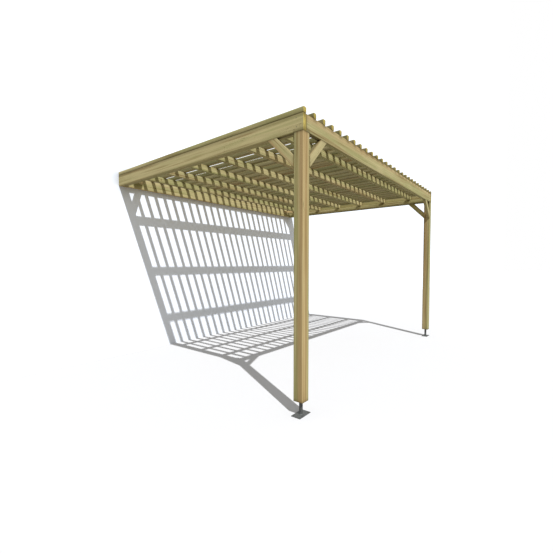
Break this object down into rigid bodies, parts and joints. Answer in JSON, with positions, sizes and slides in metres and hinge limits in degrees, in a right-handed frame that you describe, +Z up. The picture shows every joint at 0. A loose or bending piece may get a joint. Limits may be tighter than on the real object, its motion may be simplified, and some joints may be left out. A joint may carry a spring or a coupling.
{
  "type": "lean-to pergola",
  "caption": "Open timber lean-to pergola: two posts on steel feet and a wall plate carry beams, purlins and a roof of parallel slats, with 45 degree knee braces.",
  "frame": {"origin": "centre of the wall plate's back face, where it meets the wall", "axes": "+Y out of the wall plate's back into the wall, +X along the front to the right as seen from the front, +Z up; the ground is 2415 mm below the origin"},
  "size_m": [4.065, 3.05, 2.535],
  "materials": {
    "timber": "planed pressure-treated softwood, green-tan with brown streaks, matt",
    "galvanised_steel": "dull hot-dip galvanised"
  },
  "bodies": {
    "root": {"wall_plate": "timber", "front_beam": "timber", "side_beam_left": "timber", "side_beam_right": "timber", "post_left": "timber", "post_right": "timber", "front_knee_brace_left": "timber", "front_knee_brace_right": "timber", "side_knee_brace_left": "timber", "side_knee_brace_right": "timber", "wall_corner_brace_left": "timber", "wall_corner_brace_right": "timber", "ledger_left": "timber", "ledger_right": "timber", "purlin_1": "timber", "purlin_2": "timber", "purlin_3": "timber", "purlin_4": "timber", "purlin_5": "timber", "purlin_6": "timber", "slat_1": "timber", "slat_2": "timber", "slat_3": "timber", "slat_4": "timber", "slat_5": "timber", "slat_6": "timber", "slat_7": "timber", "slat_8": "timber", "slat_9": "timber", "slat_10": "timber", "slat_11": "timber", "slat_12": "timber", "slat_13": "timber", "slat_14": "timber", "slat_15": "timber", "slat_16": "timber", "slat_17": "timber", "slat_18": "timber", "slat_19": "timber", "slat_20": "timber", "slat_21": "timber", "slat_22": "timber", "slat_23": "timber", "slat_24": "timber", "slat_25": "timber", "slat_26": "timber", "slat_27": "timber", "foot_left": "galvanised_steel", "foot_right": "galvanised_steel"}
  },
  "joints": []
}
